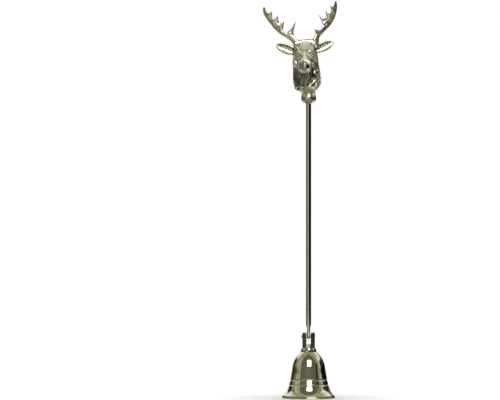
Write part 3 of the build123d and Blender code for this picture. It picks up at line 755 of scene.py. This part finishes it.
antlerShape = {  # rows from the skull to the tip: outer edge across and up, then inner edge across and up
    -1: ((8.5, 37.6, 3.4, 38.6), (8.4, 41.7, 3.5, 43.4), (10.6, 44.5, 5.3, 45.5), (13.3, 46.6, 7.8, 48.8),
         (15.7, 48.5, 10.6, 50.3), (17.1, 49.7, 12.9, 51.2), (18.1, 50.5, 14.7, 51.5), (19.1, 51.5, 15.2, 53),
         (19.9, 52.5, 14.3, 56.7), (20.5, 53.2, 13.5, 60), (21.2, 54, 15, 58.6), (22, 55.1, 16.7, 58),
         (22.9, 56.2, 17.8, 59.3), (23.6, 57.2, 17.9, 61.7), (24.2, 58, 18, 64.6), (24.8, 58.9, 19.9, 62.9),
         (25.5, 60, 21.8, 62), (26.2, 61.1, 22.5, 63.2), (26.8, 62.1, 22.3, 65.7), (27.4, 63, 22.5, 68.5),
         (27.9, 64, 24.2, 66.8), (28.4, 65.2, 25.9, 66.8), (28.8, 66.7, 26.6, 68.1), (29, 68.6, 26.9, 69.6),
         (28.9, 70.5, 27.4, 70.9), (28.3, 71.9, 27.9, 72)),
    1: ((12.3, 35.4, 6, 37.4), (11.8, 39.3, 5.9, 42.9), (11.4, 42.4, 7.4, 44.8), (11.9, 44.7, 8.3, 46.7),
        (13.1, 46.2, 9.2, 48.7), (13.9, 46.9, 10.1, 50.2), (14.8, 47.7, 11.3, 51.2), (16.1, 48.9, 12.9, 51.8),
        (17.6, 50.3, 14.7, 52.9), (19, 51.5, 15.4, 54.6), (20, 52.5, 14.8, 57), (20.8, 53.3, 13.8, 59.5),
        (21.6, 54.2, 12.7, 62.2), (22.5, 55.3, 15.1, 60.8), (23.3, 56.3, 16.9, 60.2), (24, 57.4, 18.6, 61.1),
        (24.5, 58.3, 18.4, 62.9), (25, 59.3, 17.9, 65.1), (25.6, 60.4, 19.6, 63.1), (26.1, 61.5, 21.8, 62.9),
        (26.5, 62.7, 22.6, 65), (26.8, 64, 22.3, 66.9), (27.1, 65.3, 21.8, 68.9), (27.3, 66.7, 24, 67.3),
        (27.4, 68.3, 25.1, 68.8), (27.3, 70.2, 25.7, 70.8), (26.8, 72.1, 26.4, 72.2)),
    "heights": (35, 43, 48, 51, 56, 61, 67, 72), "back": (3.4, 3.7, 4.6, 5.1, 5.4, 4.9, 3.6, 2.4),
    "halfDepth": (2.2, 2.1, 1.9, 1.75, 1.7, 1.5, 1.1, 0.4), "forward": 1.3, "flat": 0.8,
    # the brow tine on the -X side, and the other one that points forward: path, half-widths and half-depths
    "browTines": ((((-10.9, 4.6, 48), (-8.9, 4.1, 51.2), (-7.2, 3.3, 54.3), (-4.9, 2.2, 58.3)),
                   (4.4, 1.9, 0.95, 0.3), (1.5, 1.2, 0.8, 0.3)),
                  (((11.6, 3.4, 48), (9.9, 0.6, 50), (8.8, -2, 51.3)), (2, 1, 0.3), (1.7, 0.9, 0.3))),
    "poll": ((-6.4, 2.2, 42), (6.6, 2.2, 42)), "pollHalf": (2.6, 1.2), "pollLean": 0.05,
}
furShape = {  # a lock's size and form, how much it varies, and where the fur starts and ends
    "width": 4.4, "length": 6.6, "height": 0.8, "mean": 0.45, "strand": 0.07, "strands": 8, "warp": 2.2,
    "warpSize": 9, "covers": 1.7, "coversVary": 0.25, "placeVaries": 0.15, "bend": 0.45, "half": 0.62,
    "pointed": 1.8, "root": 0.25, "heightVaries": 0.2, "girth": 9.4, "rowBend": 0.5, "fall": 0.12,
    "out": (1.42, 1.18), "low": (3, 5.5), "high": (36, 31), "jowl": 0.6, "plainAbove": 9,
}
skinShape = {  # height and grain of each surface, and where the antlers, ears and short hair begin
    "castHeight": 0.05, "castSize": 0.7, "hornUp": (44.5, 46.5), "hornOut": (5, 8), "hornSpread": (44, 0.3),
    "hornHeight": 0.14, "hornSize": 1.7, "pearlMean": 0.35, "groove": 0.14, "grooveStretch": (6, 0.8, 0.8),
    "earOut": (8.8, 9.8), "earUp": (33, 34.5), "hairHeight": 0.06, "hairStretch": (0.6, 2.6, 1.4),
    "hairFront": (-19, -14), "hairAbove": 6, "jowlBulge": 0.8,
}
# cast in sand, plated and lightly polished: more a satin than a mirror, with a fine grain, dark in its hollows;
# its hollow colour also paints shade, and its pale matt colour paints highlight
castLook = {
    "colour": "#e3e1d2", "filmColour": "#cfcdba", "filmSize": 5, "scratchStretch": (1, 1, 1), "scratchSize": 0.3,
    "scratchStrength": 0.4, "scratchDepth": 0.006, "smearSize": 3, "roughness": (0.19, 0.34),
    "hollowColour": "#2b2920", "hollowRoughness": 0.42, "matteHighlightColour": "#f0efe2", "matteHighlightRoughness": 0.5,
    "grainSize": 0.35, "grainStrength": 0.5, "grainDepth": 0.02,
}


def skullSurface(rows=70, segments=56):
    # along the sloping axis, (w cos a (1 - k sin a), h sin a) with its own h above and below the axis;
    # k narrows the top, and both ends close to a point
    v = skullShape
    stations = np.array(v["stations"])
    body = splineThrough(stations, np.linspace(0, v["length"], rows), stations[:, 0])
    s, w, above, below, narrow = np.maximum(body.T, 0)[..., None]
    angles, shut = roundAngles(segments), closedEnds(rows)[:, None]
    upward = np.sin(angles)
    x = w * np.cos(angles) * (1 - narrow * np.clip(upward, 0, 1)) * shut
    forward, down = turnedPair(s, -np.where(upward > 0, above, below) * upward * shut, v["pitch"])
    return np.stack([x, v["back"] - forward, v["rise"] - down], -1)


def earSurface(side, rows=44, segments=48):
    # across it w cos a; outside it stands back by the wall times sin a, and inside it is scooped by the
    # hollow times a ramp, which rises as a square over the lower part and falls steeply near the upper edge,
    # less a rolled rim
    v = earShape
    stations = np.array(v[side])
    t, w, wall, hollow = np.maximum(splineThrough(stations, np.linspace(0, 1, rows), stations[:, 0]).T, 0)[..., None]
    angles, shut = roundAngles(segments), closedEnds(rows)[:, None]
    upward, depth = np.cos(angles), np.sin(angles)
    edge = np.sqrt(np.abs(depth))
    low, high = v["ramp"]
    ramp = np.clip((upward - low) / (high - low), 0, 1) ** 2 * smoothStep(*v["steep"], upward)
    inside = hollow * ramp - v["rim"] * edge * np.minimum(1, wall)
    back = np.where(depth > 0, wall * depth + v["back"] * edge, inside) * shut
    out, up = turnedPair(t * v["reach"][side], w * upward * shut, v["rise"][side])
    return np.stack([side * (v["rootX"] + out), v["rootY"] + v["sweep"][side] * t**2 + back, v["rootZ"] + up], -1)


def antlerSurface(side, segments=40, steps=6):
    # between the outer and the inner edge, whose teeth are its tines, each row is an oval: the middle plus half
    # the way to the inner edge times cos a, and the half-depth times |sin a| to a power; the tines lean forward
    v = antlerShape
    rows = np.array(v[side])
    wanted = np.arange(0, len(rows) - 1 + 1e-6, 1 / steps)
    outerX, outerZ, innerX, innerZ = (np.interp(wanted, np.arange(len(rows)), column)[:, None] for column in rows.T)
    angles, shut = roundAngles(segments), closedEnds(len(wanted))[:, None]
    reach = np.cos(angles) * shut
    x, z = ((outer + inner) / 2 + (inner - outer) / 2 * reach for outer, inner in ((outerX, innerX), (outerZ, innerZ)))
    deep = np.interp(outerZ, v["heights"], v["halfDepth"]) * shut
    back = np.interp(outerZ, v["heights"], v["back"]) - v["forward"] * ((1 + reach) / 2) ** 2
    return np.stack([side * x, back + deep * signedPower(np.sin(angles), v["flat"]), z], -1)


def faceTurned(points, way=1):  # turned about the upright line through the pivot, by the yaw or back again
    pivot = faceTurn["pivot"]
    x, forward = turnedPair(points[..., 0], pivot - points[..., 1], way * faceTurn["yaw"])
    return np.stack([x, pivot - forward, points[..., 2]], -1)


def strandGrid(path, width, tip, rows, segments):  # a round limb: half-width at the middle and at both tips
    return limb(path, (tip, width, tip), (tip, width, tip), rows, segments)


def headGrids():  # every surface that the head's skin is drawn round; those of the face are turned with it
    v = antlerShape
    neck = np.array(neckShape["stations"])
    path = np.column_stack([np.zeros(len(neck)), neck[:, 3], neck[:, 0]])
    face = [skullSurface(), limb(**jaw, rows=60, segments=40)]
    for (x, y, z), radii, power, lean in faceForms.values():
        for side in (-1, 1) if x else (1,):
            face.append(ball((side * x, y, z), radii, power=power))
            face[-1][..., 1] += lean * (face[-1][..., 2] - z)
    face += [strandGrid(np.array(lid) * [side, 1, 1], width, 0.3, 26, 20) for lid, width in eyelids for side in (-1, 1)]
    grids = [faceTurned(grid) for grid in face]
    grids.append(ball((0, 0, 0), bossShape["radii"], power=bossShape["power"]))
    grids.append(limb(path, neck[:, 1], neck[:, 2], 80, 64))
    grids += [strandGrid(path, width, 0.4, 34, 24) for path, width in neckLocks]
    poll = limb(v["poll"], [v["pollHalf"][0]] * 2, [v["pollHalf"][1]] * 2, 20)
    poll[..., 1] += v["pollLean"] * (poll[..., 2] - v["poll"][0][2])  # it leans back
    grids.append(poll)
    for side in (-1, 1):
        grids += [earSurface(side), antlerSurface(side)]
    return grids + [limb(path, widths, depths, 40, 28) for path, widths, depths in v["browTines"]]


def meshArrays(mesh):  # the places of the vertices, and the vertices of each edge and of each triangle
    mesh.calc_loop_triangles()
    arrays = []
    for items, name, width, kind in ((mesh.vertices, "co", 3, np.float32), (mesh.edges, "vertices", 2, np.int32),
                                     (mesh.loop_triangles, "vertices", 3, np.int32)):
        arrays.append(np.zeros((len(items), width), kind))
        items.foreach_get(name, arrays[-1].ravel())
    return arrays[0].astype(float), arrays[1], arrays[2]


def neighbourMean(places, edges):  # the plain mean of each vertex's neighbours along the edges
    a, b = edges.T
    count = np.bincount(edges.ravel(), minlength=len(places))[:, None]
    total = [
        np.bincount(a, places[b, i], len(places)) + np.bincount(b, places[a, i], len(places))
        for i in range(places.shape[1])
    ]
    return np.stack(total, 1) / np.maximum(count, 1)


def relaxed(places, edges, steps):  # each step moves 0.5 of the way to the neighbours' mean, then 0.52 back
    for _ in range(steps):
        for share in (0.5, -0.52):
            places = places + share * (neighbourMean(places, edges) - places)
    return places


def vertexNormals(places, triangles):  # the sum of the areas' normals of the triangles at each vertex
    corner = places[triangles]
    area = np.cross(corner[:, 1] - corner[:, 0], corner[:, 2] - corner[:, 0])
    total = np.stack([
        sum(np.bincount(triangles[:, k], area[:, i], len(places)) for k in range(3)) for i in range(3)], 1)
    return total / np.maximum(np.linalg.norm(total, axis=1), 1e-12)[:, None]


def furHeight(around, up, seed=3, kinds=4096):
    # locks in staggered rows: each is a pointed ridge that rises towards its tip and steps down there, and
    # of the locks that cover a place the highest one counts
    v = furShape
    table = np.random.default_rng(seed).uniform(-1, 1, (4, kinds))
    best = np.zeros(len(up))
    down = -up / v["length"]
    row = np.floor(down)
    for rowStep in (0, -1):
        for columnStep in (-1, 0, 1):
            lockRow = row + rowStep
            shift = 0.5 * (lockRow % 2)
            column = np.floor(around / v["width"] - shift) + columnStep
            key = ((lockRow * 73 + column * 151) % kinds).astype(int)  # spreads the locks over the random table
            t = (down - lockRow + v["placeVaries"] * table[1, key]) / (v["covers"] + v["coversVary"] * table[0, key])
            middle = v["width"] * (column + shift + 0.5 + v["bend"] * table[2, key] * t**2)
            half = v["half"] * v["width"] * np.sqrt(1 - np.clip(t, 0, 1) ** v["pointed"]) + 1e-6
            side = (around - middle) / half
            inside = (t > 0) & (t < 1) & (np.abs(side) < 1)
            ridge = (v["root"] + (1 - v["root"]) * t) * np.sqrt(np.clip(1 - side**2, 0, 1))
            ridge = ridge * (1 + v["heightVaries"] * table[3, key])
            strand = v["strand"] * np.cos(side * v["strands"])
            best = np.maximum(best, np.where(inside, ridge + strand, 0))
    return best


def hump(points, centre, radii, side=1):  # exp(-q^2) at q radii from the centre, which lies on the given side
    return np.exp(-((((points - np.array(centre) * [side, 1, 1]) / radii) ** 2).sum(1)))


def spotShare(points, name, side=1):  # the spot's strength times its hump, and no more than 1
    centre, radii, strength = spots[name]
    return np.minimum(1, strength * hump(points, centre, radii, side))


def bothSides(points, name):  # the greater of a spot's shares on the two sides
    return np.maximum(spotShare(points, name, -1), spotShare(points, name, 1))


def furLocks(places):
    # the share of the neck's fur at each place, and there the locks' height, from 0 between them to about 1;
    # around the neck it is measured along its oval, and a slow noise bends the rows
    v = furShape
    x, y, z = places.T
    stations = np.array(neckShape["stations"])
    half, deep, back = (np.interp(z, stations[:, 0], stations[:, i]) for i in (1, 2, 3))
    out = np.hypot(x / half, (y - back) / deep)
    share = smoothStep(*v["out"], out) * smoothStep(*v["low"], z) * smoothStep(*v["high"], z)
    share = share * (1 - np.maximum(v["jowl"] * spotShare(places, "jowl"), spotShare(places, "jowl", -1)))
    share = share * (1 - neckDark["plain"] * neckHighlightZone(places) * (z > v["plainAbove"]))
    warp = latticeNoise(places, v["warpSize"], 11) * v["warp"]
    around = np.arctan2(x / half, -(y - back) / deep) * v["girth"] + warp
    return share, furHeight(around, z + v["rowBend"] * warp - v["fall"] * np.abs(x))


def ovalReach(points, middle, radii):  # sqrt(((x - x0)/a)^2 + ((z - z0)/b)^2), which is 1 on the oval
    return np.sqrt((((points[:, ::2] - middle) / radii) ** 2).sum(1))


def padParts(face):
    # 1 on the nose's flat pad and 0 outside its oval rim, and the rim's ridge, exp(-((q - q0)/w)^2) where q is
    # the share of the way out to the oval
    v = muzzlePad
    out, front = ovalReach(face, v["middle"], v["radii"]), smoothStep(*v["front"], face[:, 1])
    return smoothStep(*v["edge"], out) * front, np.exp(-(((out - v["rimPlace"]) / v["rimWidth"]) ** 2)) * front


def curlParts(places):
    # the curl's ridge, exp(-((r - r0)/w)^2) less its hollow middle, the painted shade in that middle, and 1 on the
    # whole curl
    v = curlRing
    out = np.hypot(places[:, 0] - v["middle"][0], places[:, 2] - v["middle"][1])
    front = places[:, 1] < 0
    middle = np.exp(-((out / (v["hollow"] * v["radius"])) ** 2)) * front
    ring = np.exp(-(((out - v["radius"]) / v["width"]) ** 2)) * front
    return v["height"] * (ring - middle), middle, smoothStep(*v["bright"], out) * front


def neckHighlightZone(places):
    # 1 on the curl and in front below the slanting line across the neck, where the finish is painted bright: the
    # shade painted under the muzzle stops there, and a highlight is painted on the ridges
    v = neckDark
    beyond = ((places[:, ::2] - v["along"]) * v["square"]).sum(1)
    zone = smoothStep(-v["soft"] / 2, v["soft"] / 2, beyond) * (places[:, 1] < v["behind"]) * (places[:, 2] < v["top"])
    return np.maximum(zone * smoothStep(*v["boss"], places[:, 2]), curlParts(places)[2])


def capShare(places):  # 1 on the tufted forehead and 0 outside its oval
    v = foreheadCap
    return smoothStep(*v["edge"], ovalReach(places, v["middle"], v["radii"])) * (places[:, 1] < v["front"])


def headRelief(places):
    # how far each place moves out along its normal: fur on the neck, a tufted forehead, short hair on the
    # skull, grooves and pearls on the antlers, hollows of the face, and a cast skin over all
    v, pad, cap = skinShape, muzzlePad, foreheadCap
    x, y, z = places.T
    out = np.abs(x)
    face = faceTurned(places, -1)
    fur, locks = furLocks(places)
    hornZ, spread = v["hornSpread"]
    horn = smoothStep(*v["hornUp"], z) * smoothStep(*v["hornOut"], out + (z - hornZ) * spread)
    pearls = np.abs(latticeNoise(places, v["hornSize"], 21)) - v["pearlMean"]
    alongHorn = np.stack([(out + z) * 0.7, y, (z - out) * 0.7], 1)  # turned by 45 degrees, as the antlers lie
    grooves = latticeNoise(alongHorn / v["grooveStretch"], 1, 22)
    hair = latticeNoise(places / v["hairStretch"], 1, 23)
    onEar = smoothStep(*v["earOut"], out) * smoothStep(*v["earUp"], z)
    bare = (1 - fur) * (1 - horn) * (1 - onEar) * (z > v["hairAbove"]) * smoothStep(*v["hairFront"], y)
    curl = np.abs(latticeNoise(places, cap["curlSize"], 24)) - cap["curlMean"]
    relief = fur * (locks - furShape["mean"]) * furShape["height"]
    relief += horn * (v["hornHeight"] * pearls + v["groove"] * grooves) + bare * v["hairHeight"] * hair
    relief += capShare(places) * (cap["height"] + cap["curl"] * curl)
    relief += v["castHeight"] * latticeNoise(places, v["castSize"], 25)
    flat, rim = padParts(face)
    ridge = pad["ridge"] * np.exp(-((face[:, 0] / pad["ridgeWidth"]) ** 2))  # upright, in the nose's middle
    relief += pad["rim"] * rim + (ridge - pad["depth"]) * flat + v["jowlBulge"] * spotShare(places, "jowl", -1)
    for centre, radii, height in faceSwells.values():
        relief += height * (hump(face, centre, radii, -1) + hump(face, centre, radii))
    relief += chestSwell[2] * hump(places, *chestSwell[:2])
    for centre, radii, depth in nostrils:
        relief -= depth * hump(face, centre, radii)
    return relief + curlParts(places)[0]


def headTones(places, sunk):
    # how dark each place is painted as shade: in the neck's fur below the muzzle, on the nose's pad,
    # in the eyes and in the nostrils; and how far a paler, matt finish is painted as highlight on the forehead,
    # the nose, the jowl, the chest, the brows and the neck's ridges
    v, z = neckDark, places[:, 2]
    face = faceTurned(places, -1)
    fur, locks = furLocks(places)
    # polished marks the neck's zone painted bright: no painted shade there, and highlight on its ridges
    polished, jowl, middle = neckHighlightZone(places), spotShare(places, "jowl", -1), curlParts(places)[1]
    flat, rim = padParts(face)
    # painted shade: in the neck's fur below the muzzle and on the throat, the pad, the curl's middle, eyes and nostrils
    dark = fur * smoothStep(*v["low"], z) * smoothStep(*v["high"], z)
    dark = dark * v["ground"] * (1 - smoothStep(*v["lock"], locks))
    dark = np.maximum(dark, np.minimum(v["throat"], spotShare(places, "throat"))) * (1 - polished) * (1 - jowl)
    nostrilShades = [
        np.minimum(1, nostrilShade["strength"] * hump(face, centre, np.multiply(radii, nostrilShade["wider"])))
        for centre, radii, _ in nostrils
    ]
    dark = np.maximum.reduce([dark, muzzlePad["film"] * flat, middle, bothSides(face, "eye"), *nostrilShades])
    # painted highlight: a paler, duller finish on the chest's ridges, forehead, nose's pad and rim, jowl, brows, neck
    # ridges
    chest = spotShare(places, "chest") * smoothStep(*sunkTonesShape["chestRidge"], -sunk)
    ridgeHighlight = v["ridgeHighlight"] * polished * smoothStep(*v["ridge"], -sunk)
    brow = bothSides(places, "brow")
    return dark, np.maximum.reduce([capShare(places), muzzlePad["matteHighlight"] * flat, rim, jowl, chest, brow, ridgeHighlight])


def mouthLine(places):
    # a groove round the muzzle, -d exp(-((u - u0)/w)^2), at a waving height u0 below the skull's sloping axis
    v, skull = mouth, skullShape
    along, up = turnedPair(skull["back"] - places[:, 1], places[:, 2] - skull["rise"], skull["pitch"])
    line = -v["below"] - v["wave"] * np.cos(along * v["waving"])
    return -v["depth"] * np.exp(-(((up - line) / v["width"]) ** 2)) * smoothStep(*v["starts"], along)


def makeStagHead():
    # a voxel skin round all the surfaces, smoothed, moved out along its normals by the relief, bored for the
    # rod, toned by how deep each place lies, and last leaned over and set on the rod
    v, sunkTones = headPlace, sunkTonesShape
    piece = meshObject("stagHead", headGrids(), scale=1)
    remesh = piece.modifiers.new("skin", "REMESH")
    remesh.mode, remesh.voxel_size = "VOXEL", v["voxel"]
    applyModifiers(piece)
    places, edges, triangles = meshArrays(piece.data)
    places = relaxed(places, edges, v["smoothing"])
    normals = vertexNormals(places, triangles)
    places = places + normals * (headRelief(places) + mouthLine(faceTurned(places, -1)))[:, None]
    piece.data.vertices.foreach_set("co", places.astype(np.float32).ravel())
    socket = rod(bossShape["socket"], bossShape["socketLow"], bossShape["socketTop"], 48)
    cutAway(piece, [meshObject("cutter", [socket], scale=1)])
    places, edges, triangles = meshArrays(piece.data)
    normals = vertexNormals(places, triangles)
    blurred = places
    for _ in range(sunkTones["blur"]):
        blurred = neighbourMean(blurred, edges)
    sunk = ((blurred - places) * normals).sum(1)  # how far each place lies below the blurred surface
    dark, matteHighlight = headTones(places, sunk)
    most = sunkTones["most"] - spotShare(places, "crown")  # the crown between the antlers is kept bright
    deeper = 1 + neckDark["deeper"] * neckHighlightZone(places)
    # darker the deeper a place lies below the blurred surface, and darker still as painted shade where headTones says
    hollow = np.maximum(most * smoothStep(*sunkTones["sunk"], sunk * deeper), dark)
    x, z = turnedPair(places[:, 0], places[:, 2], v["lean"])
    placed = np.stack([x, places[:, 1], v["bossZ"] + z], 1) * mm
    placed = np.clip(placed, *(np.array(corner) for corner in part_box("stag_head")))
    piece.data.vertices.foreach_set("co", placed.astype(np.float32).ravel())
    for name, values in (("hollow", hollow), ("matteHighlight", matteHighlight)):
        piece.data.attributes.new(name, "FLOAT", "POINT").data.foreach_set("value", values.astype(np.float32))
    smoothShade(piece, v["sharpEdge"])
    piece.data.update()
    finishPiece(piece, nickelPlate("nickel plate over a sand casting", castLook), "handle", "cast_metal", "stag_head")
    print("stag's head made,", len(triangles), "triangles")


makeStudio()
makeRod()
makeBell()
makeYoke()
makePin()
makeScrewAndWasher()
makeStagHead()
